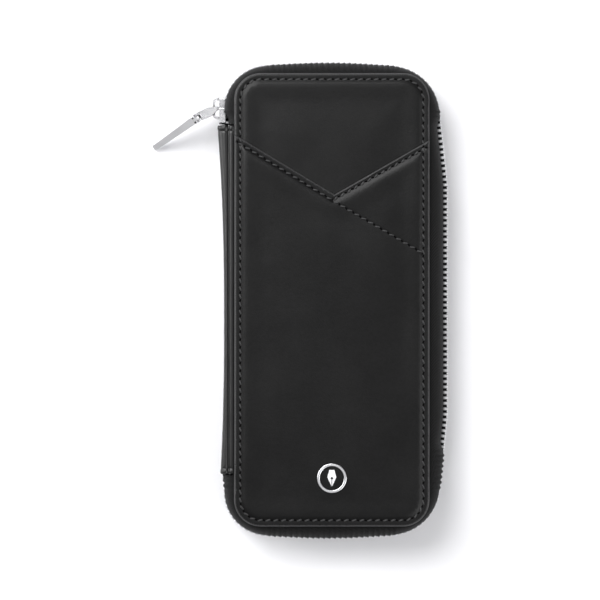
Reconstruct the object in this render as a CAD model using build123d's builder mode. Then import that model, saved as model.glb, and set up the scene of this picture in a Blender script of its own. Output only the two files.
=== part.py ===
from build123d import *
import os
from math import atan2, cos, degrees, radians, sin

os.makedirs("parts", exist_ok=True)

# Zip-round case for two fountain pens, closed and lying on its back cover.
# Millimetres. Origin at the centre of the back cover's outer face, +Z through the thickness,
# +Y along the case, +X away from the spine.

# Cover panels
PANEL_W = 70.0
PANEL_L = 162.4
PANEL_R = 9.5
LEATHER = 1.2
BOARD = 1.0
LINING = 0.6
POCKET = 1.0
COVER_TOP = 23.8
MID = COVER_TOP / 2
EDGE_ROUND = 0.4
BOARD_INSET = 3.6
BOARD_R = 16.0
LINING_INSET = 2.2
LINING_R = 22.5
SLIP_INSET = 2.8
SLIP_R = 21.0
SLIP_MOUTH_Y = 30.0

# V-cut mouth of the front pocket
V_LEFT = (-36.0, 59.9)
V_APEX = (0.9, 37.7)
V_RIGHT = (36.0, 57.8)

# Zip: outline through the tips of the teeth, seen from the front
TIP_TOP = 85.9
TIP_BOTTOM = -86.5
TIP_RIGHT = 41.9
TIP_LEFT = -38.9
TIP_CORNER_X = TIP_RIGHT - 4.4
TIP_FALL_RIGHT = 2.3
TIP_FALL_LEFT = 1.9
CROWN_R = 220.0
BELLY_R = 60.0
CORNER_R_RIGHT = 18.0
CORNER_R_LEFT = 16.0
TAPE = 0.6
TAPE_EDGE = 2.1
TAPE_STRAIGHT = 5.2
TOOTH_PITCH = 1.97
TOOTH_W = 1.1
HEAD_W = 0.76
JAW_LOW = 0.8
TOOTH_T = 2.2
TOOTH_REACH = 0.7
CHAIN_INSET = TOOTH_T / 2
CORNER_RUN = 37.0
PARTING = 1.7

# Spine
SPINE_L = 125.2
HINGE_X = -38.2
HINGE_Z_BACK = 2.2
HINGE_Z_FRONT = 23.4
FOLD_R = 0.85
SPINE_WALL_X = -39.4
SPINE_T = 1.2

# Badge
BADGE_Y = -63.9
BADGE_R = 5.3
BADGE_FIELD_R = 4.3
BADGE_RIM = 0.7
BADGE_FIELD = 0.35
BADGE_MOTIF = 0.25
PRONG_X = 1.6
PRONG_R = 0.38
PRONG_HOLE_R = 0.4
CLINCH_R = 3.5
CLINCH_T = 0.5

# Pen loops
PEN_X = 8.6
LOOP_R = 6.9
LOOP_T = 0.8
LOOP_W = 18.0

# Slider and puller
SLIDER_Y = 68.4
SLIDER_L = 10.0
SLIDER_OUT = -40.5
SLIDER_PLATE = 0.9
SLIDER_GAP = 4.2
SLIDER_SLOT = 2.1
LINK_PIVOT = (SLIDER_OUT - 0.75, 69.2, MID)
LINK_ANGLE = 206.0
LINK_REACH = 7.75
PULLER_ANGLE = 213.5
PULLER_DROOP = 28.8
PULLER_L = 22.0


def mirrored(z):
    """Height on the back half that matches height z on the front half."""
    return COVER_TOP - z


def zip_points(inset):
    """Corner points of the closed zip outline, moved inwards by inset."""
    return [
        (0, TIP_TOP - inset),
        (TIP_CORNER_X - inset, TIP_TOP - TIP_FALL_RIGHT - inset),
        (TIP_RIGHT - inset, 42),
        (TIP_RIGHT - inset, -42),
        (TIP_CORNER_X - inset, TIP_BOTTOM + TIP_FALL_RIGHT + inset),
        (0, TIP_BOTTOM + inset),
        (TIP_LEFT + inset, TIP_BOTTOM + TIP_FALL_LEFT + inset),
        (TIP_LEFT + inset, TIP_TOP - TIP_FALL_LEFT - inset),
    ]


def zip_radii(inset):
    """Corner radii that go with zip_points."""
    right = CORNER_R_RIGHT - inset
    left = CORNER_R_LEFT - inset
    return [CROWN_R, right, BELLY_R, BELLY_R, right, CROWN_R, left, left]


def scaled(points, sx, sy):
    """The points drawn in from the middle of the zip to the middle of the panel."""
    if sx == 1:
        return points
    middle_x = (TIP_RIGHT + TIP_LEFT) / 2
    middle_y = (TIP_TOP + TIP_BOTTOM) / 2
    return [((x - middle_x) * sx, (y - middle_y) * sy) for x, y in points]


# ---------------------------------------------------------------- covers

def cover_sheet(inset, radius, low, thickness):
    """Rounded rectangular sheet that follows the panel outline."""
    with BuildPart() as sheet:
        with BuildSketch(Plane.XY.offset(low)):
            RectangleRounded(PANEL_W - 2 * inset, PANEL_L - 2 * inset, radius)
        extrude(amount=thickness)
    return sheet.part


with BuildPart() as back_cover_leather:
    with BuildSketch(Plane.XY):
        RectangleRounded(PANEL_W, PANEL_L, PANEL_R)
    extrude(amount=LEATHER)
    fillet(back_cover_leather.faces().sort_by(Axis.Z)[0].edges(), EDGE_ROUND)
back_cover_leather.part.label = "back_cover_leather"
export_step(back_cover_leather.part, "parts/back_cover_leather.step")

with BuildPart() as front_cover_leather:
    with BuildSketch(Plane.XY.offset(COVER_TOP - LEATHER)):
        RectangleRounded(PANEL_W, PANEL_L, PANEL_R)
        with Locations((-PRONG_X, BADGE_Y), (PRONG_X, BADGE_Y)):
            Circle(PRONG_HOLE_R, mode=Mode.SUBTRACT)
    extrude(amount=LEATHER)
    fillet(front_cover_leather.faces().sort_by(Axis.Z)[-1].outer_wire().edges(), EDGE_ROUND)
front_cover_leather.part.label = "front_cover_leather"
export_step(front_cover_leather.part, "parts/front_cover_leather.step")

with BuildPart() as front_pocket_panel:
    with BuildSketch(Plane.XY.offset(COVER_TOP)):
        RectangleRounded(PANEL_W, PANEL_L, PANEL_R)
        with BuildLine():
            Polyline(V_LEFT, V_APEX, V_RIGHT, (36, 90), (-36, 90), close=True)
        make_face(mode=Mode.SUBTRACT)
        with Locations((-PRONG_X, BADGE_Y), (PRONG_X, BADGE_Y)):
            Circle(PRONG_HOLE_R, mode=Mode.SUBTRACT)
    extrude(amount=POCKET)
    fillet(front_pocket_panel.faces().sort_by(Axis.Z)[-1].outer_wire().edges(), EDGE_ROUND)
front_pocket_panel.part.label = "front_pocket_panel"
export_step(front_pocket_panel.part, "parts/front_pocket_panel.step")

with BuildPart() as back_stiffener_board:
    add(cover_sheet(BOARD_INSET, BOARD_R, LEATHER, BOARD))
back_stiffener_board.part.label = "back_stiffener_board"
export_step(back_stiffener_board.part, "parts/back_stiffener_board.step")

with BuildPart() as front_stiffener_board:
    add(cover_sheet(BOARD_INSET, BOARD_R, COVER_TOP - LEATHER - BOARD, BOARD))
    with BuildSketch(Plane.XY.offset(COVER_TOP - LEATHER - BOARD)):
        with Locations((0, BADGE_Y)):
            Circle(CLINCH_R + 0.3)
    extrude(amount=BOARD, mode=Mode.SUBTRACT)
front_stiffener_board.part.label = "front_stiffener_board"
export_step(front_stiffener_board.part, "parts/front_stiffener_board.step")

LINING_OUT = COVER_TOP - LEATHER - BOARD

with BuildPart() as back_lining:
    add(cover_sheet(LINING_INSET, LINING_R, mirrored(LINING_OUT), LINING))
back_lining.part.label = "back_lining"
export_step(back_lining.part, "parts/back_lining.step")

with BuildPart() as front_lining:
    add(cover_sheet(LINING_INSET, LINING_R, LINING_OUT - LINING, LINING))
front_lining.part.label = "front_lining"
export_step(front_lining.part, "parts/front_lining.step")

with BuildPart() as inner_slip_pocket:
    add(cover_sheet(SLIP_INSET, SLIP_R, LINING_OUT - 2 * LINING, LINING))
    with Locations((0, SLIP_MOUTH_Y, 0)):
        Box(
            PANEL_W,
            PANEL_L,
            COVER_TOP,
            align=(Align.CENTER, Align.MIN, Align.MIN),
            mode=Mode.SUBTRACT,
        )
inner_slip_pocket.part.label = "inner_slip_pocket"
export_step(inner_slip_pocket.part, "parts/inner_slip_pocket.step")

# ---------------------------------------------------------------- badge

with BuildPart() as badge_ring:
    with BuildSketch(Plane.XY.offset(COVER_TOP + POCKET)):
        with Locations((0, BADGE_Y)):
            Circle(BADGE_R)
            Circle(BADGE_FIELD_R, mode=Mode.SUBTRACT)
    extrude(amount=BADGE_RIM)
    fillet(badge_ring.faces().sort_by(Axis.Z)[-1].edges(), 0.25)
badge_ring.part.label = "badge_ring"
export_step(badge_ring.part, "parts/badge_ring.step")

with BuildPart() as badge_inlay:
    with BuildSketch(Plane.XY.offset(COVER_TOP + POCKET)):
        with Locations((0, BADGE_Y)):
            Circle(BADGE_FIELD_R)
    extrude(amount=BADGE_FIELD)
badge_inlay.part.label = "badge_inlay"
export_step(badge_inlay.part, "parts/badge_inlay.step")

with BuildPart() as badge_motif:
    with BuildSketch(Plane.XY.offset(COVER_TOP + POCKET + BADGE_FIELD)):
        with BuildLine():
            Polyline((0, -3.2), (1.6, 0.4), (0.9, 3.0), (-0.9, 3.0), (-1.6, 0.4), close=True)
        make_face()
        Circle(0.45, mode=Mode.SUBTRACT)
        with Locations((0, -1.6)):
            Rectangle(0.25, 3.2, mode=Mode.SUBTRACT)
    extrude(amount=BADGE_MOTIF)
badge_motif.part.position = (0, BADGE_Y, 0)
badge_motif.part.label = "badge_motif"
export_step(badge_motif.part, "parts/badge_motif.step")

with BuildPart() as badge_clinch:
    with BuildSketch(Plane.XY.offset(COVER_TOP - LEATHER - CLINCH_T)):
        with Locations((0, BADGE_Y)):
            Circle(CLINCH_R)
    extrude(amount=CLINCH_T)
    with BuildSketch(Plane.XY.offset(COVER_TOP - LEATHER)):
        with Locations((-PRONG_X, BADGE_Y), (PRONG_X, BADGE_Y)):
            Circle(PRONG_R)
    extrude(amount=LEATHER + POCKET)
badge_clinch.part.label = "badge_clinch"
export_step(badge_clinch.part, "parts/badge_clinch.step")

# ---------------------------------------------------------------- zip tapes

FLANGE_OUT = COVER_TOP - LEATHER
TAPE_LOW = MID + TAPE_EDGE
TAPE_BEND = MID + TAPE_STRAIGHT
TAPE_TOP = FLANGE_OUT - TAPE / 2
TAPE_SX = 0.873
TAPE_SY = 0.948


def zip_face(inset, sx, sy, height):
    """Closed face of the zip outline at a height, drawn in by the two scales."""
    with BuildSketch(Plane.XY.offset(height)) as face:
        with BuildLine():
            FilletPolyline(scaled(zip_points(inset), sx, sy), radius=zip_radii(inset), close=True)
        make_face()
    return face.sketch


def tape_shell(inset):
    """Solid bounded by the tape surface that lies inset from the tips of the teeth."""
    with BuildPart() as shell:
        add(zip_face(inset, 1, 1, TAPE_LOW))
        extrude(amount=TAPE_BEND - TAPE_LOW)
        add(zip_face(inset, 1, 1, TAPE_BEND))
        add(zip_face(inset, TAPE_SX, TAPE_SY, TAPE_TOP))
        loft(ruled=True)
    return shell.part


with BuildPart() as whole_tape:
    add(tape_shell(1.0))
    add(tape_shell(1.0 + TAPE), mode=Mode.SUBTRACT)
    with BuildSketch(Plane.XY.offset(FLANGE_OUT - TAPE)):
        RectangleRounded(PANEL_W - 1.2, PANEL_L - 1.2, PANEL_R - 0.6)
        RectangleRounded(PANEL_W - 6.8, PANEL_L - 6.8, 16.2, mode=Mode.SUBTRACT)
    extrude(amount=TAPE)
    with Locations((-50, 0, MID)):
        Box(40, SPINE_L + 0.6, 60, mode=Mode.SUBTRACT)

CORNER_BOX_X = (-60.0, -14.0)
CORNER_BOX_Y = (40.0, 100.0)


def corner_box():
    """Block around the stretch of tape that the slider runs over."""
    with BuildPart() as block:
        with Locations((CORNER_BOX_X[0], CORNER_BOX_Y[0], 0)):
            Box(
                CORNER_BOX_X[1] - CORNER_BOX_X[0],
                CORNER_BOX_Y[1] - CORNER_BOX_Y[0],
                COVER_TOP,
                align=(Align.MIN, Align.MIN, Align.MIN),
            )
    return block.part


with BuildPart() as front_zip_tape:
    add(whole_tape.part)
    add(corner_box(), mode=Mode.SUBTRACT)
front_zip_tape.part.label = "front_zip_tape"
export_step(front_zip_tape.part, "parts/front_zip_tape.step")

with BuildPart() as front_zip_tape_corner:
    add(whole_tape.part)
    add(corner_box(), mode=Mode.INTERSECT)
    with Locations((-45, 66, MID)):
        Box(30, 12.4, 2 * (TAPE_EDGE + PARTING), mode=Mode.SUBTRACT)
front_zip_tape_corner.part.label = "front_zip_tape_corner"
export_step(front_zip_tape_corner.part, "parts/front_zip_tape_corner.step")

with BuildPart() as back_zip_tape:
    add(front_zip_tape.part)
    mirror(about=Plane.XY.offset(MID), mode=Mode.REPLACE)
back_zip_tape.part.label = "back_zip_tape"
export_step(back_zip_tape.part, "parts/back_zip_tape.step")

with BuildPart() as back_zip_tape_corner:
    add(front_zip_tape_corner.part)
    mirror(about=Plane.XY.offset(MID), mode=Mode.REPLACE)
back_zip_tape_corner.part.label = "back_zip_tape_corner"
export_step(back_zip_tape_corner.part, "parts/back_zip_tape_corner.step")

# ---------------------------------------------------------------- zip teeth

CHAIN_X = TIP_LEFT + CHAIN_INSET
CHAIN_END = SPINE_L / 2 + 0.3
chain_points = zip_points(CHAIN_INSET)
chain_radii = zip_radii(CHAIN_INSET)

with BuildLine() as chain:
    FilletPolyline(
        [(CHAIN_X, CHAIN_END), chain_points[7]] + chain_points[0:7] + [(CHAIN_X, -CHAIN_END)],
        radius=[chain_radii[7]] + chain_radii[0:7],
    )
chain_wire = chain.wires()[0]

with BuildPart() as tooth:
    with BuildSketch(Plane.XY.offset(-TOOTH_REACH)):
        Rectangle(1.5, HEAD_W)
    with BuildSketch(Plane.XY.offset(JAW_LOW)):
        Rectangle(TOOTH_T, HEAD_W)
    loft()
    with BuildSketch(Plane.XY.offset(JAW_LOW)):
        Rectangle(TOOTH_T, TOOTH_W)
    extrude(amount=TAPE_EDGE - JAW_LOW)
    chamfer(tooth.faces().sort_by(Axis.Z)[-1].edges(), 0.2)


def parting(run):
    """How far each row stands off the middle plane, opened by the slider's wedge."""
    if run < 4.5:
        return PARTING
    if run > 8.5:
        return 0.0
    return PARTING * (8.5 - run) / 4.0


def tooth_places(first, last, side):
    """Places of the teeth of one row between two runs along the chain."""
    places = []
    run = first
    while run < last:
        point = chain_wire.position_at(run, PositionMode.LENGTH)
        way = chain_wire.tangent_at(run, PositionMode.LENGTH)
        turn = degrees(atan2(way.Y, way.X)) - 90
        places.append(Location((point.X, point.Y, MID + side * parting(run)), (0, 0, turn)))
        run += TOOTH_PITCH
    return places


CHAIN_RUN = chain_wire.length
FRONT_FIRST = 1.0
BACK_FIRST = FRONT_FIRST + TOOTH_PITCH / 2
CORNER_TEETH = int((CORNER_RUN - FRONT_FIRST) / TOOTH_PITCH) + 1
FRONT_JOIN = FRONT_FIRST + CORNER_TEETH * TOOTH_PITCH
BACK_JOIN = BACK_FIRST + CORNER_TEETH * TOOTH_PITCH
CHAIN_LAST = CHAIN_RUN - 3.4

with BuildPart() as back_tooth:
    add(tooth.part)
    mirror(about=Plane.XY, mode=Mode.REPLACE)


def tooth_row(first, last, side):
    """One row of teeth as separate solids."""
    shape = tooth.part if side > 0 else back_tooth.part
    return Compound(children=[shape.moved(place) for place in tooth_places(first, last, side)])


for name, first, last, side in (
    ("front_zip_teeth", FRONT_JOIN, CHAIN_LAST, 1),
    ("front_zip_teeth_corner", FRONT_FIRST, FRONT_JOIN - 0.01, 1),
    ("back_zip_teeth", BACK_JOIN, CHAIN_LAST, -1),
    ("back_zip_teeth_corner", BACK_FIRST, BACK_JOIN - 0.01, -1),
):
    row = tooth_row(first, last, side)
    row.label = name
    export_step(row, "parts/" + name + ".step")

with BuildPart() as zip_end_stop:
    with Locations((CHAIN_X, -CHAIN_END - 1.4, MID)):
        Box(2.8, 2.4, 2 * TAPE_EDGE)
    fillet(zip_end_stop.edges().filter_by(Axis.Z), 0.5)
zip_end_stop.part.label = "zip_end_stop"
export_step(zip_end_stop.part, "parts/zip_end_stop.step")

# ---------------------------------------------------------------- spine

with BuildPart() as spine_leather:
    with BuildSketch(Plane.XZ):
        with BuildLine():
            FilletPolyline(
                (HINGE_X, HINGE_Z_FRONT),
                (SPINE_WALL_X, HINGE_Z_FRONT - 1.2),
                (SPINE_WALL_X, HINGE_Z_BACK + 1.2),
                (HINGE_X, HINGE_Z_BACK),
                radius=1.2,
            )
        trace(line_width=SPINE_T)
        with Locations((HINGE_X, HINGE_Z_FRONT), (HINGE_X, HINGE_Z_BACK)):
            Circle(FOLD_R)
    extrude(amount=SPINE_L / 2, both=True)
spine_leather.part.label = "spine_leather"
export_step(spine_leather.part, "parts/spine_leather.step")

with BuildPart() as spine_lining:
    with Locations((SPINE_WALL_X + SPINE_T / 2, 0, (HINGE_Z_BACK + HINGE_Z_FRONT) / 2)):
        Box(LINING, SPINE_L - 4, 15.4, align=(Align.MIN, Align.CENTER, Align.CENTER))
spine_lining.part.label = "spine_lining"
export_step(spine_lining.part, "parts/spine_lining.step")

FLAP_OUT = HINGE_X + FOLD_R + 0.25
with BuildPart() as front_spine_flap:
    with Locations((FLAP_OUT, 0, FLANGE_OUT - TAPE)):
        Box(5.4, SPINE_L, TAPE, align=(Align.MIN, Align.CENTER, Align.MIN))
        Box(
            -PANEL_W / 2 - 0.1 - FLAP_OUT,
            SPINE_L,
            SPINE_T,
            align=(Align.MIN, Align.CENTER, Align.MIN),
        )
front_spine_flap.part.label = "front_spine_flap"
export_step(front_spine_flap.part, "parts/front_spine_flap.step")

with BuildPart() as back_spine_flap:
    add(front_spine_flap.part)
    mirror(about=Plane.XY.offset(MID), mode=Mode.REPLACE)
back_spine_flap.part.label = "back_spine_flap"
export_step(back_spine_flap.part, "parts/back_spine_flap.step")

# ---------------------------------------------------------------- pen loops

LINING_IN = mirrored(LINING_OUT - LINING)


def pen_loops(middle_y):
    """Elastic band sewn down on both sides of two pens."""
    arch_z = LINING_IN + LOOP_R
    with BuildPart() as loops:
        with BuildSketch(Plane.XZ.offset(-middle_y)):
            with Locations((0, LINING_IN)):
                Rectangle(40, LOOP_T, align=(Align.CENTER, Align.MIN))
            for side in (-1, 1):
                with Locations((side * PEN_X, LINING_IN)):
                    Rectangle(2 * (LOOP_R + LOOP_T), LOOP_R, align=(Align.CENTER, Align.MIN))
                with Locations((side * PEN_X, arch_z)):
                    Circle(LOOP_R + LOOP_T)
            for side in (-1, 1):
                with Locations((side * PEN_X, LINING_IN)):
                    Rectangle(
                        2 * LOOP_R, LOOP_R, align=(Align.CENTER, Align.MIN), mode=Mode.SUBTRACT
                    )
                with Locations((side * PEN_X, arch_z)):
                    Circle(LOOP_R, mode=Mode.SUBTRACT)
            with Locations((0, LINING_IN)):
                Rectangle(60, 10, align=(Align.CENTER, Align.MAX), mode=Mode.SUBTRACT)
        extrude(amount=LOOP_W / 2, both=True)
    return loops.part


for name, middle_y in (("upper_pen_loops", 34.0), ("lower_pen_loops", -22.0)):
    with BuildPart() as loops:
        add(pen_loops(middle_y))
    loops.part.label = name
    export_step(loops.part, "parts/" + name + ".step")

# ---------------------------------------------------------------- slider

slider_plane = Plane(origin=(SLIDER_OUT, SLIDER_Y, MID), x_dir=(0, 1, 0), z_dir=(1, 0, 0))
SLIDER_T = SLIDER_GAP + 2 * SLIDER_PLATE


def slider_outline(wide, narrow, half_length):
    """Half outlines of the slider plate: wide at the wedge, narrow where the chain leaves."""
    return [
        (-half_length, -wide),
        (0.5, -wide),
        (4.0, -narrow),
        (half_length, -narrow),
        (half_length, narrow),
        (4.0, narrow),
        (0.5, wide),
        (-half_length, wide),
    ]


with BuildPart() as slider_body:
    with BuildSketch(slider_plane):
        with BuildLine():
            FilletPolyline(slider_outline(4.9, 3.2, SLIDER_L / 2), radius=0.4, close=True)
        make_face()
    extrude(amount=SLIDER_T)
    with BuildSketch(slider_plane.offset(SLIDER_PLATE)):
        with BuildLine():
            Polyline(slider_outline(4.1, 2.5, SLIDER_L), close=True)
        make_face()
    extrude(amount=SLIDER_GAP, mode=Mode.SUBTRACT)
    with Locations((SLIDER_OUT + 2.2, SLIDER_Y, MID)):
        Box(SLIDER_SLOT, 20, 20, align=(Align.MIN, Align.CENTER, Align.CENTER), mode=Mode.SUBTRACT)
    with BuildSketch(slider_plane.offset(SLIDER_PLATE)):
        with BuildLine():
            Polyline(
                (-4.2, 0),
                (-3.2, -0.75),
                (-1.8, -0.75),
                (-0.6, 0),
                (-1.8, 0.75),
                (-3.2, 0.75),
                close=True,
            )
        make_face()
    extrude(amount=SLIDER_GAP)
slider_body.part.label = "slider_body"
export_step(slider_body.part, "parts/slider_body.step")

bridge_foot = SLIDER_OUT + 0.5
bridge_crown = SLIDER_OUT - 1.95
bridge_points = [
    (bridge_foot, LINK_PIVOT[1] - 3.9),
    (bridge_crown, LINK_PIVOT[1] - 3.2),
    (bridge_crown, LINK_PIVOT[1] + 2.8),
    (bridge_foot, LINK_PIVOT[1] + 3.5),
]

with BuildPart() as slider_bridge:
    with BuildSketch(Plane.XY.offset(MID)):
        with BuildLine():
            FilletPolyline(*bridge_points, radius=0.9)
        trace(line_width=0.9)
        with Locations((SLIDER_OUT, SLIDER_Y)):
            Rectangle(5, 20, align=(Align.MIN, Align.CENTER), mode=Mode.SUBTRACT)
    extrude(amount=1.0, both=True)
slider_bridge.part.label = "slider_bridge"
export_step(slider_bridge.part, "parts/slider_bridge.step")

# ---------------------------------------------------------------- link and bar

link_plane = Plane(
    origin=LINK_PIVOT,
    x_dir=(cos(radians(LINK_ANGLE)), sin(radians(LINK_ANGLE)), 0),
    z_dir=(0, 0, 1),
)
pin_origin = (
    LINK_PIVOT[0] + LINK_REACH * cos(radians(LINK_ANGLE)),
    LINK_PIVOT[1] + LINK_REACH * sin(radians(LINK_ANGLE)),
    MID,
)
level = (cos(radians(PULLER_ANGLE)), sin(radians(PULLER_ANGLE)), 0)
across = (-sin(radians(PULLER_ANGLE)), cos(radians(PULLER_ANGLE)), 0)
fork_plane = Plane(origin=pin_origin, x_dir=level, z_dir=(0, 0, 1))
side_plane = Plane(origin=pin_origin, x_dir=level, z_dir=(-across[0], -across[1], 0))
bar_way = (
    level[0] * cos(radians(PULLER_DROOP)),
    level[1] * cos(radians(PULLER_DROOP)),
    -sin(radians(PULLER_DROOP)),
)
bar_side = Plane(origin=pin_origin, x_dir=bar_way, z_dir=(-across[0], -across[1], 0))
bar_plane = Plane(origin=pin_origin, x_dir=bar_way, z_dir=bar_side.y_dir)
ARM_IN = 1.35
ARM_OUT = 2.15
FORK_IN = 0.75
FORK_OUT = 1.6
FORK_R = 1.5
PIN_R = 0.4
LINK_EYE_R = 0.6

with BuildPart() as puller_link:
    with BuildSketch(link_plane):
        Circle(PIN_R)
    extrude(amount=ARM_OUT, both=True)
    for low in (ARM_IN, -ARM_OUT):
        with BuildSketch(link_plane.offset(low)):
            Circle(LINK_EYE_R)
            with BuildLine():
                Polyline(
                    (0, -LINK_EYE_R),
                    (3.0, -FORK_OUT),
                    (LINK_REACH - 1.25, -FORK_OUT),
                    (LINK_REACH - 1.25, FORK_OUT),
                    (3.0, FORK_OUT),
                    (0, LINK_EYE_R),
                    close=True,
                )
            make_face()
        extrude(amount=ARM_OUT - ARM_IN)
    with BuildSketch(link_plane):
        with Locations((5.0, 0)):
            Rectangle(1.5, 2 * FORK_OUT, align=(Align.MIN, Align.CENTER))
    extrude(amount=ARM_OUT, both=True)
    with BuildSketch(side_plane):
        Circle(FORK_R)
        Rectangle(1.6, 2 * FORK_R, align=(Align.MAX, Align.CENTER))
    extrude(amount=FORK_OUT, both=True)
    with BuildSketch(fork_plane.offset(-3)):
        with Locations((-1.3, 0)):
            Rectangle(4, 2 * FORK_IN, align=(Align.MIN, Align.CENTER))
    extrude(amount=6, mode=Mode.SUBTRACT)
    with BuildSketch(side_plane):
        Circle(PIN_R)
    extrude(amount=3, both=True, mode=Mode.SUBTRACT)
puller_link.part.label = "puller_link"
export_step(puller_link.part, "parts/puller_link.step")

with BuildPart() as puller_pin:
    with BuildSketch(side_plane):
        Circle(PIN_R)
    extrude(amount=FORK_OUT, both=True)
puller_pin.part.label = "puller_pin"
export_step(puller_pin.part, "parts/puller_pin.step")

with BuildPart() as puller_bar:
    with BuildSketch(bar_side):
        Circle(1.1)
        Rectangle(2.4, 1.4, align=(Align.MIN, Align.CENTER))
        Circle(PIN_R + 0.05, mode=Mode.SUBTRACT)
    extrude(amount=0.6, both=True)
    with BuildSketch(bar_plane):
        with BuildLine():
            FilletPolyline(
                (2.0, -1.4), (PULLER_L, -1.0), (PULLER_L, 1.0), (2.0, 1.4), radius=0.4, close=True
            )
        make_face()
    extrude(amount=0.75, both=True)
puller_bar.part.label = "puller_bar"
export_step(puller_bar.part, "parts/puller_bar.step")
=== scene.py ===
import bpy
import math
import numpy as np
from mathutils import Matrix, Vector
from mathutils.geometry import delaunay_2d_cdt


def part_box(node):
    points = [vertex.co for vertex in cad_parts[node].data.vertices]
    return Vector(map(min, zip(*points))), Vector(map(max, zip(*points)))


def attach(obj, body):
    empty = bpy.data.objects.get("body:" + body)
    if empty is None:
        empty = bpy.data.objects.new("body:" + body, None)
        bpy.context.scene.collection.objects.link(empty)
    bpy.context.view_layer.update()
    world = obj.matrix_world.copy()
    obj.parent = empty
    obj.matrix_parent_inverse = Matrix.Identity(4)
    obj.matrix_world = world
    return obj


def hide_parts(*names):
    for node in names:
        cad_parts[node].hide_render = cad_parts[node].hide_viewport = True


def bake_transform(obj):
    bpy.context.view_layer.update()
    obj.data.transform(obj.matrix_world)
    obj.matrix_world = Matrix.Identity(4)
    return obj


# Looks of the zip-round pen case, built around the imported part. Lengths are in millimetres until a
# mesh is made.
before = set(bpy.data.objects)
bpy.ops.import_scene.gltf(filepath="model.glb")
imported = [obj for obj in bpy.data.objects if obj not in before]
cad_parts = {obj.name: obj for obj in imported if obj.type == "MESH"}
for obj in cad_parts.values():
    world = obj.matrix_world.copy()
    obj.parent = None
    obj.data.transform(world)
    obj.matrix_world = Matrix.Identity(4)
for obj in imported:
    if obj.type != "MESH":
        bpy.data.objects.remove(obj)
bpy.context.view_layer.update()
MM = 0.001


def box_mm(node):
    """Lowest and highest corner of a CAD node in millimetres."""
    low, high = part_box(node)
    return np.array(low) / MM, np.array(high) / MM


# ---------------------------------------------------------------- sizes from the frame

cover_low, cover_high = box_mm("front_cover_leather")
_, pocket_high = box_mm("front_pocket_panel")
_, back_high = box_mm("back_cover_leather")
teeth_low, teeth_high = box_mm("front_zip_teeth")
tape_low, _ = box_mm("front_zip_tape")
spine_low, spine_high = box_mm("spine_leather")

HALF_X = (cover_high[0] - cover_low[0]) / 2
HALF_Y = (cover_high[1] - cover_low[1]) / 2
PANEL_R = 9.5
COVER_TOP = cover_high[2]
COVER_UNDER = cover_low[2]
POCKET_TOP = pocket_high[2]
MID = COVER_TOP / 2
SPINE_HALF = (spine_high[1] - spine_low[1]) / 2

EDGE_ROLL = 0.7
STITCH_INSET = 2.25
STITCH_PITCH = 2.8
ARM_INSET = 1.8
V_LEFT = (-HALF_X, 59.3)
V_APEX = (0.9, 37.7)
V_RIGHT = (HALF_X, 57.2)
SEAM_END = (32.6, 16.6)

TOOTH_PITCH = 1.97
TOOTH_T = 2.2
TIP_LEFT = teeth_low[0]
TIP_RIGHT = teeth_high[0]
TIP_FALL_RIGHT = 2.3
TIP_FALL_LEFT = 1.9
TIP_CORNER_IN = 4.4
STRAIGHT_HALF = 42
CROWN_R = 220
BELLY_R = 60
CORNER_R_RIGHT = 18
CORNER_R_LEFT = 16


# ---------------------------------------------------------------- outlines

def arc_points(centre, radius, start, end, step):
    """Points along a circular arc, angles in radians."""
    count = max(2, int(abs(end - start) * radius / step) + 1)
    angles = np.linspace(start, end, count)
    return np.column_stack((centre[0] + radius * np.cos(angles), centre[1] + radius * np.sin(angles)))


def rounded_outline(half_x, half_y, radius, step=0.8):
    """Anticlockwise outline of a rounded rectangle."""
    quarter = math.pi / 2
    corners = []
    for index, (sx, sy) in enumerate(((1, 1), (-1, 1), (-1, -1), (1, -1))):
        centre = (sx * (half_x - radius), sy * (half_y - radius))
        corners.append(arc_points(centre, radius, index * quarter, (index + 1) * quarter, step))
    loop = np.concatenate(corners)
    return resampled(np.vstack((loop, loop[:1])), step)[:-1]


def resampled(path, step):
    """The path again, with evenly spaced points about step apart."""
    legs = np.hypot(*np.diff(path, axis=0).T)
    run = np.concatenate(([0], np.cumsum(legs)))
    count = max(2, int(round(run[-1] / step)) + 1)
    wanted = np.linspace(0, run[-1], count)
    return np.column_stack([np.interp(wanted, run, path[:, axis]) for axis in (0, 1)])


def filleted(points, radii, step):
    """Open path through the points with each inner corner rounded."""
    out = [np.array([points[0]], float)]
    for index in range(1, len(points) - 1):
        before, corner, after = (np.array(points[index + k], float) for k in (-1, 0, 1))
        a = (before - corner) / np.linalg.norm(before - corner)
        b = (after - corner) / np.linalg.norm(after - corner)
        half = math.acos(float(np.clip(a @ b, -1, 1))) / 2
        reach = radii[index - 1] / math.tan(half)
        centre = corner + (a + b) / np.linalg.norm(a + b) * radii[index - 1] / math.sin(half)
        first = math.atan2(*(corner + a * reach - centre)[::-1])
        last = math.atan2(*(corner + b * reach - centre)[::-1])
        last = first + (last - first + math.pi) % (2 * math.pi) - math.pi
        out.append(arc_points(centre, radii[index - 1], first, last, step))
    out.append(np.array([points[-1]], float))
    return resampled(np.concatenate(out), step)


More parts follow.
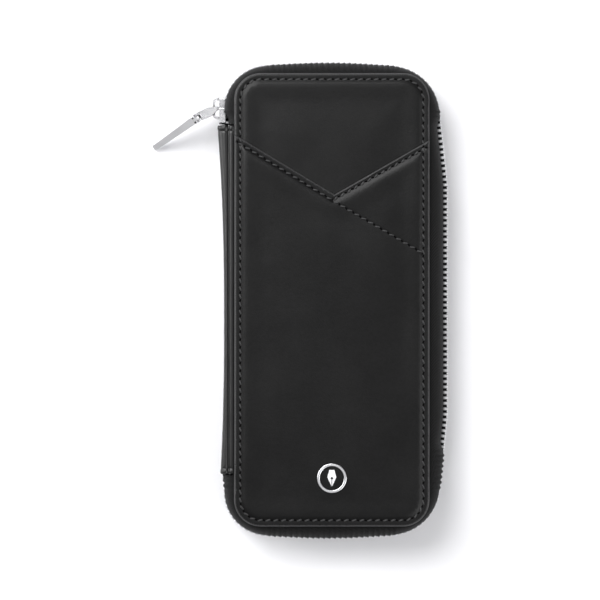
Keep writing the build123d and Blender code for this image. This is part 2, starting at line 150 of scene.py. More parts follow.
def zip_path(inset, end_y, step=0.5):
    """Clockwise run of the zip from the upper to the lower end of the spine."""
    top, bottom = teeth_high[1] - inset, teeth_low[1] + inset
    left, right = TIP_LEFT + inset, TIP_RIGHT - inset
    corner_x = TIP_RIGHT - TIP_CORNER_IN - inset
    points = [
        (left, end_y),
        (left, top - TIP_FALL_LEFT),
        (0, top),
        (corner_x, top - TIP_FALL_RIGHT),
        (right, STRAIGHT_HALF),
        (right, -STRAIGHT_HALF),
        (corner_x, bottom + TIP_FALL_RIGHT),
        (0, bottom),
        (left, bottom + TIP_FALL_LEFT),
        (left, -end_y),
    ]
    large, small = CORNER_R_RIGHT - inset, CORNER_R_LEFT - inset
    radii = [small, CROWN_R, large, BELLY_R, BELLY_R, large, CROWN_R, small]
    return filleted(points, radii, step)


def outward(path):
    """Unit normals to the left of a clockwise path, which point away from the case."""
    way = np.gradient(path, axis=0)
    way /= np.linalg.norm(way, axis=1)[:, None]
    return np.column_stack((-way[:, 1], way[:, 0]))


def onto_rounded(points, half_x, half_y, radius):
    """Closest points on a rounded rectangle."""
    core = np.clip(points, (radius - half_x, radius - half_y), (half_x - radius, half_y - radius))
    away = points - core
    return core + radius * away / np.linalg.norm(away, axis=1)[:, None]


def depth_in_panel(p):
    """How far points lie inside the panel outline."""
    q = np.abs(p) - (HALF_X - PANEL_R, HALF_Y - PANEL_R)
    outside = np.linalg.norm(np.maximum(q, 0), axis=1)
    return PANEL_R - outside - np.minimum(np.max(q, axis=1), 0)


def segment_distance(p, a, b):
    """Distance of points from the segment between a and b."""
    a, b = np.array(a, float), np.array(b, float)
    t = np.clip((p - a) @ (b - a) / ((b - a) @ (b - a)), 0, 1)
    return np.linalg.norm(p - a - t[:, None] * (b - a), axis=1)


def smooth(t):
    """Smooth step from 0 to 1."""
    t = np.clip(t, 0, 1)
    return t * t * (3 - 2 * t)


# ---------------------------------------------------------------- meshes

def add_mesh(name, verts, faces, material, body, replaces=()):
    """A smooth shaded piece in its place on a body."""
    mesh = bpy.data.meshes.new(name)
    mesh.from_pydata((np.asarray(verts, float) * MM).tolist(), [], [tuple(f) for f in faces])
    mesh.update()
    mesh.polygons.foreach_set("use_smooth", [True] * len(mesh.polygons))
    mesh.materials.append(material)
    piece = bpy.data.objects.new(name, mesh)
    bpy.context.scene.collection.objects.link(piece)
    if body:
        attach(piece, body)
    if replaces:
        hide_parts(*replaces)
    return piece


def set_uv(piece, coords):
    """UV in metres from one pair per vertex."""
    layer = piece.data.uv_layers.new(name="UVMap")
    corners = np.empty(len(piece.data.loops), int)
    piece.data.loops.foreach_get("vertex_index", corners)
    layer.data.foreach_set("uv", (np.asarray(coords, float)[corners] * MM).ravel())


def sheet_piece(name, outline, height, under, guides, material, body, replaces, flip=False):
    """Closed sheet with the given outline, its outer face raised to height(points). Faces in a narrow
    band along the outline get the lighter second material, a painted highlight along the rolled and
    folded edges.
    """
    material, edge_highlight_material = material
    inner = [guides]
    low, high = outline.min(axis=0), outline.max(axis=0)
    rows = np.arange(low[1] + 1, high[1], 1.5)
    for index, y in enumerate(rows):
        xs = np.arange(low[0] + 1 + 0.85 * (index % 2), high[0], 1.7)
        inner.append(np.column_stack((xs, np.full(len(xs), y))))
    points = np.concatenate(inner)
    keep = inside(points, outline) & (loop_distance(points, outline) > 0.08)
    points = np.concatenate((outline, points[keep]))
    edge = [(i, (i + 1) % len(outline)) for i in range(len(outline))]
    flat, _, faces, *_ = delaunay_2d_cdt(
        [Vector(p) for p in points.tolist()], edge, [list(range(len(outline)))], 1, 1e-5
    )
    flat = np.array([tuple(p) for p in flat])
    top = np.column_stack((flat, height(flat)))
    base = np.column_stack((flat, np.full(len(flat), under)))
    count = len(flat)
    rim = rim_edges(faces)
    closed = [tuple(f) for f in faces]
    closed += [tuple(i + count for i in reversed(f)) for f in faces]
    closed += [(b, a, a + count, b + count) for a, b in rim]
    if flip:
        closed = [tuple(reversed(f)) for f in closed]
    piece = add_mesh(name, np.concatenate((top, base)), closed, material, body, replaces)
    piece.data.materials.append(edge_highlight_material)
    middles = np.array([flat[[i % count for i in f]].mean(axis=0) for f in closed])
    # Painted highlight: faces close to the outline take the lighter edge material.
    near = loop_distance(middles, outline) < EDGE_HIGHLIGHT_BAND
    piece.data.polygons.foreach_set("material_index", near.astype(int).tolist())
    return piece


def rim_edges(faces):
    """Directed edges that only one face uses."""
    seen = {}
    for face in faces:
        for a, b in zip(face, list(face[1:]) + [face[0]]):
            seen[(a, b)] = True
    return [edge for edge in seen if (edge[1], edge[0]) not in seen]


def inside(points, outline):
    """Which points lie inside a closed outline."""
    result = np.zeros(len(points), bool)
    previous = outline[-1]
    for current in outline:
        crosses = (current[1] > points[:, 1]) != (previous[1] > points[:, 1])
        rise = previous[1] - current[1]
        with np.errstate(divide="ignore", invalid="ignore"):
            x = (previous[0] - current[0]) * (points[:, 1] - current[1]) / rise + current[0]
        result ^= crosses & (points[:, 0] < x)
        previous = current
    return result


def loop_distance(points, outline):
    """Distance of points from a closed outline's corners, close enough on a dense outline."""
    best = np.full(len(points), 1e9)
    for start in range(0, len(outline), 64):
        block = outline[start:start + 64]
        gap = np.linalg.norm(points[:, None, :] - block[None, :, :], axis=2).min(axis=1)
        best = np.minimum(best, gap)
    return best


def grid_solid(name, grid, thickness, material, body, replaces=(), uv=None):
    """Closed shell from a grid of points [along][across], thickened against its normals,
    or along them when the thickness is negative."""
    along, across, _ = grid.shape
    du = np.gradient(grid, axis=0)
    dv = np.gradient(grid, axis=1)
    normal = np.cross(du, dv)
    normal /= np.linalg.norm(normal, axis=2)[:, :, None] + 1e-12
    verts = np.concatenate((grid.reshape(-1, 3), (grid - normal * thickness).reshape(-1, 3)))
    half = along * across
    faces = []
    for i in range(along - 1):
        for j in range(across - 1):
            a = i * across + j
            b, c, d = a + across, a + across + 1, a + 1
            faces.append((a, b, c, d))
            faces.append((d + half, c + half, b + half, a + half))
    edge = [i * across for i in range(along)]
    edge += [(along - 1) * across + j for j in range(1, across)]
    edge += [i * across + across - 1 for i in range(along - 2, -1, -1)]
    edge += [j for j in range(across - 2, 0, -1)]
    for a, b in zip(edge, edge[1:] + edge[:1]):
        faces.append((b, a, a + half, b + half))
    if thickness < 0:
        faces = [tuple(reversed(face)) for face in faces]
    piece = add_mesh(name, verts, faces, material, body, replaces)
    if uv is not None:
        set_uv(piece, np.concatenate((uv.reshape(-1, 2), uv.reshape(-1, 2))))
    return piece


def tube_rows(centres, ways, ups, widths, heights, sides=8):
    """Closed tubes: arrays shaped [tube][station] give centres, directions and radii."""
    verts, faces = [], []
    angles = np.linspace(0, 2 * math.pi, sides, endpoint=False)
    for tube in range(len(centres)):
        first = len(verts)
        stations = len(centres[tube])
        for station in range(stations):
            way = ways[tube] / np.linalg.norm(ways[tube])
            side = np.cross(ups[tube], way)
            for angle in angles:
                verts.append(
                    centres[tube][station]
                    + side * math.cos(angle) * widths[station]
                    + ups[tube] * math.sin(angle) * heights[station]
                )
        for station in range(stations - 1):
            for k in range(sides):
                a = first + station * sides + k
                b = first + station * sides + (k + 1) % sides
                faces.append((a, a + sides, b + sides, b))
        faces.append(tuple(first + k for k in range(sides)))
        faces.append(tuple(first + (stations - 1) * sides + k for k in range(sides - 1, -1, -1)))
    return verts, faces


# ---------------------------------------------------------------- materials

def new_material(name, colour, roughness, metallic=0.0, specular=0.5):
    """Principled material and its node tree."""
    material = bpy.data.materials.new(name)
    material.use_nodes = True
    tree = material.node_tree
    shader = tree.nodes["Principled BSDF"]
    shader.inputs["Base Color"].default_value = (*colour, 1)
    shader.inputs["Roughness"].default_value = roughness
    shader.inputs["Metallic"].default_value = metallic
    shader.inputs["Specular IOR Level"].default_value = specular
    return material, tree, shader


def texture(tree, kind, scale, coords, **settings):
    """Texture node fed by the given coordinates."""
    node = tree.nodes.new(kind)
    for key, value in settings.items():
        setattr(node, key, value)
    node.inputs["Scale"].default_value = scale
    tree.links.new(coords, node.inputs["Vector"])
    return node


def turned(tree, coords, angle):
    """Coordinates turned about Z by an angle in degrees."""
    mapping = tree.nodes.new("ShaderNodeMapping")
    mapping.inputs["Rotation"].default_value = (0, 0, math.radians(angle))
    tree.links.new(coords, mapping.inputs["Vector"])
    return mapping.outputs["Vector"]


def bump(tree, shader, layers):
    """Chain of bumps: (height socket, strength, depth in millimetres)."""
    previous = None
    for height, strength, depth in layers:
        node = tree.nodes.new("ShaderNodeBump")
        node.inputs["Strength"].default_value = strength
        node.inputs["Distance"].default_value = depth * MM
        tree.links.new(height, node.inputs["Height"])
        if previous:
            tree.links.new(previous, node.inputs["Normal"])
        previous = node.outputs["Normal"]
    tree.links.new(previous, shader.inputs["Normal"])


def vary(tree, shader, socket, source, low, high):
    """Drive a shader input between two values by a texture."""
    spread = tree.nodes.new("ShaderNodeMapRange")
    spread.inputs["To Min"].default_value = low
    spread.inputs["To Max"].default_value = high
    tree.links.new(source, spread.inputs["Value"])
    tree.links.new(spread.outputs["Result"], shader.inputs[socket])


def tint(tree, shader, source, dark, light, low=0.3, high=0.7):
    """Drive the base colour between two greys by a texture."""
    ramp = tree.nodes.new("ShaderNodeValToRGB")
    ramp.color_ramp.elements[0].color = (*dark, 1)
    ramp.color_ramp.elements[1].color = (*light, 1)
    ramp.color_ramp.elements[0].position = low
    ramp.color_ramp.elements[1].position = high
    tree.links.new(source, ramp.inputs["Fac"])
    tree.links.new(ramp.outputs["Color"], shader.inputs["Base Color"])


def leather_material(name, dark, light, roughness=0.46, specular=0.3):
    """Smooth calf: fine pores, faint pebbles and broad soft unevenness."""
    material, tree, shader = new_material(name, light, roughness, specular=specular)
    coords = tree.nodes.new("ShaderNodeTexCoord").outputs["Object"]
    pores = texture(tree, "ShaderNodeTexVoronoi", 1900, coords)
    pebble = texture(tree, "ShaderNodeTexNoise", 900, coords)
    pebble.inputs["Detail"].default_value = 4
    broad = texture(tree, "ShaderNodeTexNoise", 60, coords)
    bump(tree, shader, (
        (broad.outputs["Fac"], 0.35, 0.6),
        (pores.outputs["Distance"], 0.16, 0.12),
        (pebble.outputs["Fac"], 0.22, 0.12),
    ))
    tint(tree, shader, pebble.outputs["Fac"], dark, light)
    vary(tree, shader, "Roughness", broad.outputs["Fac"], roughness - 0.08, roughness + 0.1)
    return material


def woven_material(name, dark, light, pitch, angle, coords_name="UV", roughness=0.75):
    """Twill or ribbed cloth: two crossing sets of yarns."""
    material, tree, shader = new_material(name, light, roughness, specular=0.12)
    coords = tree.nodes.new("ShaderNodeTexCoord").outputs[coords_name]
    scale = 2 * math.pi / 20 / (pitch * MM)
    ribs = texture(tree, "ShaderNodeTexWave", scale, turned(tree, coords, angle))
    yarns = texture(tree, "ShaderNodeTexWave", scale * 1.7, turned(tree, coords, angle + 78))
    fuzz = texture(tree, "ShaderNodeTexNoise", 1400, coords)
    bump(tree, shader, (
        (ribs.outputs["Fac"], 0.5, 0.15),
        (yarns.outputs["Fac"], 0.35, 0.08),
        (fuzz.outputs["Fac"], 0.3, 0.08),
    ))
    tint(tree, shader, ribs.outputs["Fac"], dark, light)
    shader.inputs["Sheen Weight"].default_value = 0.03
    return material


def metal_material(name, colour, roughness):
    """Plated metal with fine rubbing marks; its colour is darkened towards black in crevices by
    ambient occlusion, which is painted shade.
    """
    material, tree, shader = new_material(name, colour, roughness, metallic=1.0)
    coords = tree.nodes.new("ShaderNodeTexCoord").outputs["Object"]
    rub = texture(tree, "ShaderNodeTexNoise", 700, coords)
    rub.inputs["Detail"].default_value = 6
    cloud = texture(tree, "ShaderNodeTexNoise", 130, coords)
    bump(tree, shader, ((rub.outputs["Fac"], 0.12, 0.03),))
    vary(tree, shader, "Roughness", cloud.outputs["Fac"], roughness - 0.08, roughness + 0.12)
    # Painted shade: ambient occlusion darkens the metal's colour in its crevices.
    crevice_shade = tree.nodes.new("ShaderNodeAmbientOcclusion")
    crevice_shade.inputs["Distance"].default_value = 1.5 * MM
    tint(tree, shader, crevice_shade.outputs["AO"], grey(0.01), colour, 0.4, 0.85)
    return material


def thread_material(name, dark, light):
    """Waxed thread with a visible twist."""
    material, tree, shader = new_material(name, light, 0.5, specular=0.35)
    coords = tree.nodes.new("ShaderNodeTexCoord").outputs["Object"]
    twist = texture(tree, "ShaderNodeTexWave", 1500, turned(tree, coords, 40))
    fuzz = texture(tree, "ShaderNodeTexNoise", 3000, coords)
    bump(tree, shader, ((twist.outputs["Fac"], 0.4, 0.06), (fuzz.outputs["Fac"], 0.3, 0.04)))
    tint(tree, shader, twist.outputs["Fac"], dark, light)
    return material


def grain_material(name, dark, light, roughness, scale=800):
    """Plain dull surface with a fine grain: board, the painted shade of each needle hole, floor."""
    material, tree, shader = new_material(name, light, roughness, specular=0.1)
    coords = tree.nodes.new("ShaderNodeTexCoord").outputs["Object"]
    grain = texture(tree, "ShaderNodeTexNoise", scale, coords)
    grain.inputs["Detail"].default_value = 5
    bump(tree, shader, ((grain.outputs["Fac"], 0.2, 0.05),))
    tint(tree, shader, grain.outputs["Fac"], dark, light)
    return material


def grey(value):
    return (value, value, value * 1.02)


leather = leather_material("black_calf", grey(0.002), grey(0.0036), roughness=0.38, specular=0.24)
# Lighter leather for a narrow band along every panel edge and the folded V edges: a painted highlight
# standing in for the light those rounded edges catch.
leather_edge_highlight = leather_material("black_calf_edge_highlight", grey(0.028), grey(0.04), 0.5, 0.35)
spine_calf = leather_material("black_calf_spine", grey(0.003), grey(0.006), 0.36, 0.5)
thread = thread_material("black_thread", grey(0.018), grey(0.055))
# Near-black patches laid over the leather at each needle hole: painted shade of the holes.
hole_shade_material = grain_material("needle_hole_shade", grey(0.0004), grey(0.0008), 0.95)
tape_cloth = woven_material("zip_tape_twill", grey(0.0025), grey(0.014), 0.6, 58)
lining_cloth = woven_material("lining_cloth", grey(0.02), grey(0.035), 0.5, 0, "Object")
spine_lining_cloth = woven_material("spine_lining_cloth", grey(0.02), grey(0.035), 0.5, 0)
elastic_cloth = woven_material("ribbed_elastic", grey(0.01), grey(0.02), 0.9, 90, "Object")
teeth_metal = metal_material("tooth_metal", grey(0.86), 0.36)
pull_metal = metal_material("puller_metal", grey(0.9), 0.38)
slider_metal = metal_material("slider_metal", grey(0.8), 0.22)
badge_metal = metal_material("badge_metal", grey(0.9), 0.3)
motif_metal = metal_material("motif_metal", grey(0.96), 0.5)
badge_dark = grain_material("badge_field", grey(0.02), grey(0.035), 0.45, 1500)
card = grain_material("grey_board", grey(0.2), grey(0.3), 0.9)


# ---------------------------------------------------------------- covers

def rolled_edge(depth, radius, drop):
    """How far a turned edge falls off near the outline."""
    t = np.clip(1 - depth / radius, 0, 1)
    return drop * (1 - np.sqrt(np.clip(1 - t * t, 0, 1)))


def groove(distance, width=0.5, deep=0.13):
    """Dip that a row of stitches pulls into the leather."""
    return deep * np.exp(-(distance / width) ** 2)


def puff(depth, start, peak=0.4):
    """Padding that swells inside a row of stitches and settles towards the middle."""
    return peak * smooth((depth - start) / 1.6) * (1 - 0.75 * smooth((depth - start - 1.6) / 7))


def unevenness(p):
    """Slow hand-made unevenness of a leather face."""
    x, y = p[:, 0], p[:, 1]
    return 0.05 * np.sin(x * 0.11 + 0.6) * np.sin(y * 0.07 + 1.1) + 0.03 * np.sin(x * 0.19 - y * 0.13)


def arm_distance(p):
    """Distance from the pocket's V edge."""
    return np.minimum(segment_distance(p, V_LEFT, V_APEX), segment_distance(p, V_APEX, V_RIGHT))


def shifted_below(a, b, gap):
    """The segment from a to b moved gap below itself."""
    a, b = np.array(a, float), np.array(b, float)
    way = (b - a) / np.linalg.norm(b - a)
    off = np.array((way[1], -way[0])) * gap
    return a + off, b + off


left_row = shifted_below(V_LEFT, V_APEX, ARM_INSET)
right_row = shifted_below(V_APEX, V_RIGHT, ARM_INSET)
apex_stitch = np.array((0.2, 35.6))
left_row = np.array((left_row[0] + (left_row[1] - left_row[0]) * 0.06, apex_stitch))
right_row = np.array((apex_stitch, right_row[1] - (right_row[1] - right_row[0]) * 0.06))
seam_row = np.array((apex_stitch, SEAM_END))
ROWS = (left_row, right_row, seam_row)


def cover_height(p):
    """Front cover leather, seen above the pocket."""
    depth = depth_in_panel(p)
    crown = 0.4 * smooth(depth / 24) + puff(depth, STITCH_INSET)
    edge = rolled_edge(depth, EDGE_ROLL, EDGE_ROLL) + groove(depth - STITCH_INSET)
    return COVER_TOP - edge + crown + unevenness(p)


def pocket_height(p):
    """Pocket panel over the lower front."""
    depth = depth_in_panel(p)
    arm = arm_distance(p)
    rows = sum(groove(segment_distance(p, *row)) for row in ROWS)
    held = np.minimum(depth - STITCH_INSET, arm - ARM_INSET)
    crown = 0.3 * smooth(np.minimum(depth, arm) / 20) + puff(held, 0)
    fold = rolled_edge(arm, 0.4, 0.75)
    edge = np.maximum(rolled_edge(depth, EDGE_ROLL, 0.8), fold)
    return POCKET_TOP - edge - rows - groove(depth - STITCH_INSET) + crown + unevenness(p)


def back_depth(p):
    """Outer face of the back cover, which rests on its flat middle."""
    depth = depth_in_panel(p)
    return rolled_edge(depth, EDGE_ROLL, EDGE_ROLL) + groove(depth - STITCH_INSET)


def ring_points(insets):
    """Points on loops inside the panel outline, where the edge and the stitches need them."""
    loops = [
        rounded_outline(HALF_X - d, HALF_Y - d, PANEL_R - d, 0.9) for d in insets
    ]
    return np.concatenate(loops)


def row_points(rows, offsets, step=0.8):
    """Points beside each row."""
    out = []
    for a, b in rows:
        a, b = np.array(a, float), np.array(b, float)
        way = (b - a) / np.linalg.norm(b - a)
        side = np.array((-way[1], way[0]))
        line = resampled(np.array((a, b)), step)
        out += [line + side * off for off in offsets]
    return np.concatenate(out)


# Width of the band along each edge that gets the lighter leather, a painted highlight.
EDGE_HIGHLIGHT_BAND = 0.6
EDGE_RINGS = (0.1, 0.25, 0.45, 0.7, 1.1, 1.5, 1.8, 2.1, 2.4, 2.8, 3.4)
panel_outline = rounded_outline(HALF_X, HALF_Y, PANEL_R)
rings = ring_points(EDGE_RINGS)

sheet_piece(
    "front_cover_skin", panel_outline, cover_height, COVER_UNDER, rings,
    (leather, leather_edge_highlight), "front_cover", ("front_cover_leather",),
)
sheet_piece(
    "back_cover_skin", panel_outline, back_depth, back_high[2], rings,
    (leather, leather_edge_highlight), "back_cover", ("back_cover_leather",), flip=True,
)


def pocket_outline():
    """Panel outline with the V cut out of its top."""
    below = np.array([p for p in panel_outline if p[1] < V_RIGHT[1] - 0.3 or p[1] < V_LEFT[1] - 0.3])
    below = below[(below[:, 0] < 0) | (below[:, 1] < V_RIGHT[1] - 0.3)]
    below = below[(below[:, 0] > 0) | (below[:, 1] < V_LEFT[1] - 0.3)]
    start = int(np.argmax(below[:, 1] * (below[:, 0] < 0)))
    below = np.roll(below, -start, axis=0)
    right_arm = resampled(np.array((V_RIGHT, V_APEX)), 0.8)
    left_arm = resampled(np.array((V_APEX, V_LEFT)), 0.8)[1:]
    return np.concatenate((below, right_arm, left_arm))


arm_guides = row_points(
    ((V_LEFT, V_APEX), (V_APEX, V_RIGHT)), (-0.1, -0.25, -0.45, -0.75, -1.1, -1.5)
)
row_guides = row_points(ROWS, (-0.9, -0.5, -0.25, 0, 0.25, 0.5, 0.9))
sheet_piece(
    "front_pocket_skin", pocket_outline(), pocket_height, COVER_TOP,
    np.concatenate((rings, arm_guides, row_guides)),
    (leather, leather_edge_highlight), "front_cover", ("front_pocket_panel",),
)


# ---------------------------------------------------------------- stitching

STITCH_SLANT = math.radians(22)
STITCH_REACH = 0.33
STITCH_LIFT = 0.28
STITCH_DIVE = 0.4
THREAD_R = 0.3
HOLE_REACH = 0.5
HOLE_R = 0.38
HOLE_PROUD = 0.06
HOLE_FLAT = 0.16


def stitch_pieces(name, path, height, body, closed=False, side=1, pitch=STITCH_PITCH):
    """A row of slanted stitches with a needle hole between each two, each hole drawn as a flat
    near-black patch just proud of the leather: painted shade.
    """
    legs = np.hypot(*np.diff(path, axis=0).T)
    run = np.concatenate(([0], np.cumsum(legs)))
    count = int(round(run[-1] / pitch))
    pitch = run[-1] / count
    middles = (np.arange(count) + 0.5) * pitch

    def at(s):
        s = s % run[-1] if closed else s
        return np.column_stack([np.interp(s, run, path[:, k]) for k in (0, 1)])

    centre = at(middles)
    way = at(middles + 0.3) - at(middles - 0.3)
    way /= np.linalg.norm(way, axis=1)[:, None]
    cosine, sine = math.cos(STITCH_SLANT), math.sin(STITCH_SLANT)
    turn = np.array(((cosine, -sine), (sine, cosine)))
    slanted = way @ turn.T
    pricked = way @ turn
    spread = np.linspace(-1, 1, 9)
    level = height(centre)
    tubes = []
    for k in range(count):
        flat = centre[k] + spread[:, None] * slanted[k] * pitch * STITCH_REACH
        lift = level[k] + side * (STITCH_LIFT - STITCH_DIVE * np.abs(spread) ** 3)
        tubes.append(np.column_stack((flat, lift)))
    ways = np.column_stack((slanted, np.zeros(count)))
    ups = np.tile((0.0, 0.0, 1.0), (count, 1))
    widths = THREAD_R * (1 - 0.35 * np.abs(spread) ** 4)
    verts, faces = tube_rows(tubes, ways, ups, widths, widths * 0.8)
    add_mesh(name + "_thread", verts, faces, thread, body)
    edges = at(np.arange(count + (0 if closed else 1)) * pitch)
    edge_way = np.vstack((pricked, pricked[-1:]))[: len(edges)]
    low = height(edges)
    # Painted shade: a flat near-black patch at each needle hole, a little proud of the leather.
    hole_shades = []
    for k in range(len(edges)):
        run_out = edges[k] + np.linspace(-HOLE_REACH, HOLE_REACH, 5)[:, None] * edge_way[k]
        hole_shades.append(np.column_stack((run_out, np.full(5, low[k] + side * HOLE_PROUD))))
    hole_ways = np.column_stack((edge_way, np.zeros(len(edges))))
    hole_ups = np.tile((0.0, 0.0, 1.0), (len(edges), 1))
    taper = HOLE_R * np.array((0.45, 0.85, 1, 0.85, 0.45))
    verts, faces = tube_rows(hole_shades, hole_ways, hole_ups, taper, taper * HOLE_FLAT)
    add_mesh(name + "_holes", verts, faces, hole_shade_material, body)


def front_height(p):
    """Outer face of the front, pocket or cover leather, whichever is there."""
    corner_x, corner_y = zip(V_LEFT, V_APEX, V_RIGHT)
    mouth = np.interp(p[:, 0], corner_x, corner_y)
    return np.where(p[:, 1] < mouth, pocket_height(p), cover_height(p))


loop = rounded_outline(HALF_X - STITCH_INSET, HALF_Y - STITCH_INSET, PANEL_R - STITCH_INSET, 0.5)
loop = np.vstack((loop, loop[:1]))
stitch_pieces("front_edge_stitch", loop, front_height, "front_cover", closed=True)
stitch_pieces("back_edge_stitch", loop, back_depth, "back_cover", closed=True, side=-1)
for row_name, row in (("left_arm", left_row), ("right_arm", right_row), ("corner_seam", seam_row)):
    stitch_pieces(row_name + "_stitch", resampled(row, 0.5), pocket_height, "front_cover")


def slip_face(p):
    """Inner face of the slip pocket on the front lining."""
    return np.full(len(p), slip_low[2])


slip_low, slip_high = box_mm("inner_slip_pocket")
SLIP_HEM = 1.6
SLIP_END = 1.5
slip_y = slip_high[1] - SLIP_HEM
slip_mouth = np.array(((slip_low[0] + SLIP_END, slip_y), (slip_high[0] - SLIP_END, slip_y)))
stitch_pieces("slip_mouth_stitch", resampled(slip_mouth, 0.5), slip_face, "front_cover", side=-1)


# ---------------------------------------------------------------- zip tape

def cover_teeth(path):
    """Where the tape edge rolls out over the teeth: all but the right side and the closed end."""
    on_right = (path[:, 0] > 30) * smooth((68 - path[:, 1]) / 6) * smooth((path[:, 1] + 57) / 6)
    by_slider = (path[:, 0] < -30) * (path[:, 1] > 0) * smooth((68 - path[:, 1]) / 3)
    return 1 - np.clip(on_right + by_slider, 0, 1)


def at_corner(path):
    """Where the tape goes round a corner and lies smooth."""
    return smooth((np.abs(path[:, 0]) - 21) / 5) * smooth((np.abs(path[:, 1]) - 66) / 4)


TAPE_T = 0.55
TAPE_BARE = 1.7
TAPE_ROLLED = 1.42
TAPE_BUMP = 0.7
CORD_R = 0.8
CORD_FLAT = 0.5
CORD_OUT = 1.2
TAPE_EDGE_Z = tape_low[2] + 0.15


def tape_piece(name, side, body, replaces):
    """One tape, from under the cover's edge out and round to the teeth."""
    tips = zip_path(0, SPINE_HALF + 0.3, 0.35)
    normal = outward(tips)
    covered = cover_teeth(tips)
    run = np.concatenate(([0], np.cumsum(np.hypot(*np.diff(tips, axis=0).T))))
    bumps = (0.5 - 0.5 * np.cos(run / TOOTH_PITCH * 2 * math.pi)) * (1 - at_corner(tips))
    inset = TAPE_BARE - covered * (TAPE_ROLLED + TAPE_BUMP * bumps)
    outer = tips - normal * inset[:, None]
    inner = onto_rounded(tips - normal * 3.0, HALF_X - 1.2, HALF_Y - 1.2, PANEL_R - 1.2)
    edge_z = TAPE_EDGE_Z - 0.25 * covered * bumps
    turns = np.linspace(0, math.pi / 2, 16)
    grid = np.zeros((len(tips), len(turns), 3))
    uv = np.zeros((len(tips), len(turns), 2))
    for j, turn in enumerate(turns):
        out = math.sin(turn) ** 0.85
        down = (1 - math.cos(turn)) ** 1.1
        grid[:, j, :2] = inner + (outer - inner) * out
        level = COVER_UNDER - 0.05 + (edge_z - COVER_UNDER + 0.05) * down
        grid[:, j, 2] = level if side > 0 else 2 * MID - level
        uv[:, j, 0] = run
        uv[:, j, 1] = 11.0 * turn / turns[-1]
    thickness = TAPE_T if side > 0 else -TAPE_T
    return grid_solid(name, grid, thickness, tape_cloth, body, replaces, uv)


tape_piece("front_tape", 1, "front_cover", ("front_zip_tape", "front_zip_tape_corner"))
tape_piece("back_tape", -1, "back_cover", ("back_zip_tape", "back_zip_tape_corner"))


def tape_cord(name, side, body):
    """Corded edge of a tape, which the teeth are clamped to."""
    path = zip_path(TOOTH_T / 2, SPINE_HALF + 0.2, 0.7)
    normal = outward(path)
    ring = np.linspace(2 * math.pi, 0, 11)
    grid = np.zeros((len(path), len(ring), 3))
    for j, angle in enumerate(ring):
        grid[:, j, :2] = path + normal * CORD_R * math.cos(angle)
        grid[:, j, 2] = MID + side * CORD_OUT + CORD_FLAT * math.sin(angle)
    return grid_solid(name, grid, 0.2, tape_cloth, body, uv=grid[:, :, :2])


tape_cord("front_tape_cord", 1, "front_cover")
tape_cord("back_tape_cord", -1, "back_cover")


# ---------------------------------------------------------------- spine

CREASE_X = -37.1
FLAP_X = -35.15
SPINE_TOP = 23.2
SPINE_SKIN = 0.45
SPINE_MIDDLE = (spine_low[2] + spine_high[2]) / 2
WALL_X = -38.7
WAIST_Y = -8
WAIST = 2.25
TABLE_GAP = 0.25
CLOTH_IN = 1.0
CLOTH_T = 0.5


def spine_face(y):
    """X of the spine's outer face, pulled in at the middle."""
    return WALL_X - WAIST * (np.abs(y - WAIST_Y) / 69) ** 2.4


def spine_half(name, side, replaces):
    """Half of the spine leather, from under one cover to the middle of the case."""
    ys = np.concatenate((
        np.linspace(-SPINE_HALF, -SPINE_HALF + 4, 18),
        np.linspace(-SPINE_HALF + 5, SPINE_HALF - 5, 60),
        np.linspace(SPINE_HALF - 4, SPINE_HALF, 18),
    ))
    middle, top = SPINE_MIDDLE, SPINE_TOP
    from_end = SPINE_HALF - np.abs(ys)
    hem = 0.12 * smooth((2.4 - from_end) / 0.8) - 0.16 * np.exp(-((from_end - 2.0) / 0.4) ** 2)
    rounding = 0.5 * np.clip(1 - from_end / 0.6, 0, 1) ** 2
    grid = []
    for y, lift, fall in zip(ys, hem, rounding):
        face = spine_face(y)
        bulge = lift - fall
        roll = face - CREASE_X
        line = [(FLAP_X + 1.2, top - 0.85), (FLAP_X, top - 0.05 + bulge)]
        for t in (0.35, 0.7, 1.0):
            line.append((FLAP_X - t * 1.3, top + 0.03 * math.sin(t * math.pi) + bulge))
        line += [(CREASE_X + 0.3, top - 0.5 + bulge), (CREASE_X, top - 1.1 + bulge)]
        line += [(CREASE_X - 0.22, top - 0.75 + bulge)]
        for turn in np.linspace(0.3, math.pi / 2, 10):
            x = CREASE_X + (roll - bulge * 0.7) * math.sin(turn)
            z = top - 2.9 + bulge * math.cos(turn) + 2.6 * math.cos(turn) ** 0.7
            line.append((x, z))
        last_z = line[-1][1]
        for z in (*np.linspace(last_z, middle, 8)[1:-1], middle + 0.03, middle):
            line.append((face - bulge * 0.7, z))
        grid.append([(x, y, z) for x, z in line])
    grid = np.array(grid)
    if side < 0:
        grid[:, :, 2] = 2 * middle - grid[:, :, 2]
        grid[:, :, 2] = np.maximum(grid[:, :, 2], TABLE_GAP)
    piece = grid_solid(name, grid, SPINE_SKIN * side, spine_calf, None, replaces)
    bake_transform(piece)
    return piece


for name, side, cover, replaced in (
    ("spine_wrap_front", 1, "front_cover", ("spine_leather", "front_spine_flap")),
    ("spine_wrap_back", -1, "back_cover", ("back_spine_flap",)),
):
    spine_half(
        name, side, replaced
    )


def spine_cloth():
    """Lining of the spine, following its waist on the inside."""
    low, high = box_mm("spine_lining")
    ys = np.linspace(low[1], high[1], 60)
    zs = np.linspace(low[2], high[2], 12)
    grid = np.zeros((len(ys), len(zs), 3))
    grid[:, :, 0] = spine_face(ys)[:, None] + CLOTH_IN
    grid[:, :, 1] = ys[:, None]
    grid[:, :, 2] = zs
    grid_solid(
        "spine_cloth", grid, CLOTH_T, spine_lining_cloth, "spine",
        ("spine_lining",), grid[:, :, 1:],
    )


spine_cloth()


# ---------------------------------------------------------------- CAD pieces that stay

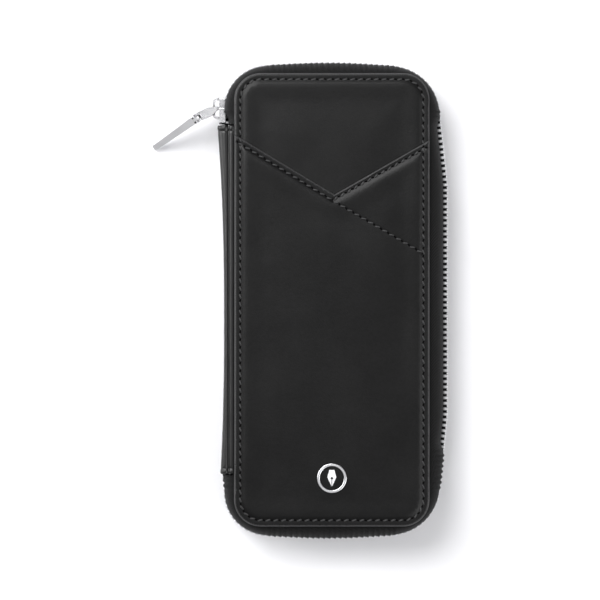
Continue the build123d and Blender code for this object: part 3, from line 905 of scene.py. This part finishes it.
def dress(nodes, material, width=0.0):
    """Give CAD nodes their material and, where asked, softened edges."""
    for node in nodes:
        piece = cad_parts[node]
        piece.data.materials.clear()
        piece.data.materials.append(material)
        if width:
            softened = piece.modifiers.new("softened", "BEVEL")
            softened.width = width * MM
            softened.segments = 3
            softened.limit_method = "ANGLE"
            softened.angle_limit = math.radians(40)
            softened.use_clamp_overlap = True


dress(
    ("front_zip_teeth", "front_zip_teeth_corner", "back_zip_teeth", "back_zip_teeth_corner"),
    teeth_metal, 0.16,
)
dress(("zip_end_stop",), teeth_metal, 0.2)
dress(("slider_body", "slider_bridge", "puller_link", "puller_pin"), slider_metal, 0.22)
dress(("puller_bar",), pull_metal, 0.22)
dress(("badge_ring", "badge_clinch"), badge_metal, 0.08)
dress(("badge_motif",), motif_metal, 0.08)
dress(("badge_inlay",), badge_dark)
dress(("front_stiffener_board", "back_stiffener_board"), card)
dress(("front_lining", "back_lining", "inner_slip_pocket"), lining_cloth)
dress(("upper_pen_loops", "lower_pen_loops"), elastic_cloth)


# ---------------------------------------------------------------- floor, light, camera

def floor():
    bpy.ops.mesh.primitive_plane_add(size=6, location=(0, 0, -0.0002))
    plane = bpy.context.object
    plane.name = "floor"
    plane.data.materials.append(grain_material("pale_floor", grey(0.92), grey(0.95), 0.9, 40))


def soft_light(name, place, target, size, power):
    data = bpy.data.lights.new(name, "AREA")
    data.size = size
    data.energy = power
    lamp = bpy.data.objects.new(name, data)
    bpy.context.scene.collection.objects.link(lamp)
    lamp.location = place
    lamp.rotation_euler = (Vector(target) - Vector(place)).to_track_quat("-Z", "Y").to_euler()


floor()
soft_light("key", (-0.34, 0.43, 0.7), (-0.015, 0.04, 0), 0.6, 8.4)
soft_light("fill", (0.9, -0.45, 0.9), (0, 0, 0), 1.0, 11)
soft_light("side_card", (-0.86, 0.16, 0.4), (-0.04, 0, 0), 0.34, 3.2)

SKY_SIDE = 0.16
SKY_TOP = 0.42
world = bpy.data.worlds.new("studio")
world.use_nodes = True
background = world.node_tree.nodes["Background"]
background.inputs["Strength"].default_value = 1.0
sky_coords = world.node_tree.nodes.new("ShaderNodeTexCoord")
sky_axes = world.node_tree.nodes.new("ShaderNodeSeparateXYZ")
sky_ramp = world.node_tree.nodes.new("ShaderNodeValToRGB")
world.node_tree.links.new(sky_coords.outputs["Generated"], sky_axes.inputs["Vector"])
world.node_tree.links.new(sky_axes.outputs["Z"], sky_ramp.inputs["Fac"])
world.node_tree.links.new(sky_ramp.outputs["Color"], background.inputs["Color"])
sky_ramp.color_ramp.elements[0].position = 0.45
sky_ramp.color_ramp.elements[0].color = (*grey(SKY_SIDE), 1)
sky_ramp.color_ramp.elements[1].position = 0.95
sky_ramp.color_ramp.elements[1].color = (*grey(SKY_TOP), 1)
bpy.context.scene.world = world
bpy.context.scene.view_settings.view_transform = "Standard"

FRAME_WIDTH = 214.8
CAMERA_X = -11.4
CAMERA_UP = 1500.0
camera_data = bpy.data.cameras.new("camera")
camera_data.sensor_width = 36
camera_data.lens = 36 * (CAMERA_UP - POCKET_TOP) / FRAME_WIDTH
camera_data.clip_end = 20
camera = bpy.data.objects.new("camera", camera_data)
camera.location = (CAMERA_X * MM, -0.0001, CAMERA_UP * MM)
bpy.context.scene.collection.objects.link(camera)
bpy.context.scene.camera = camera
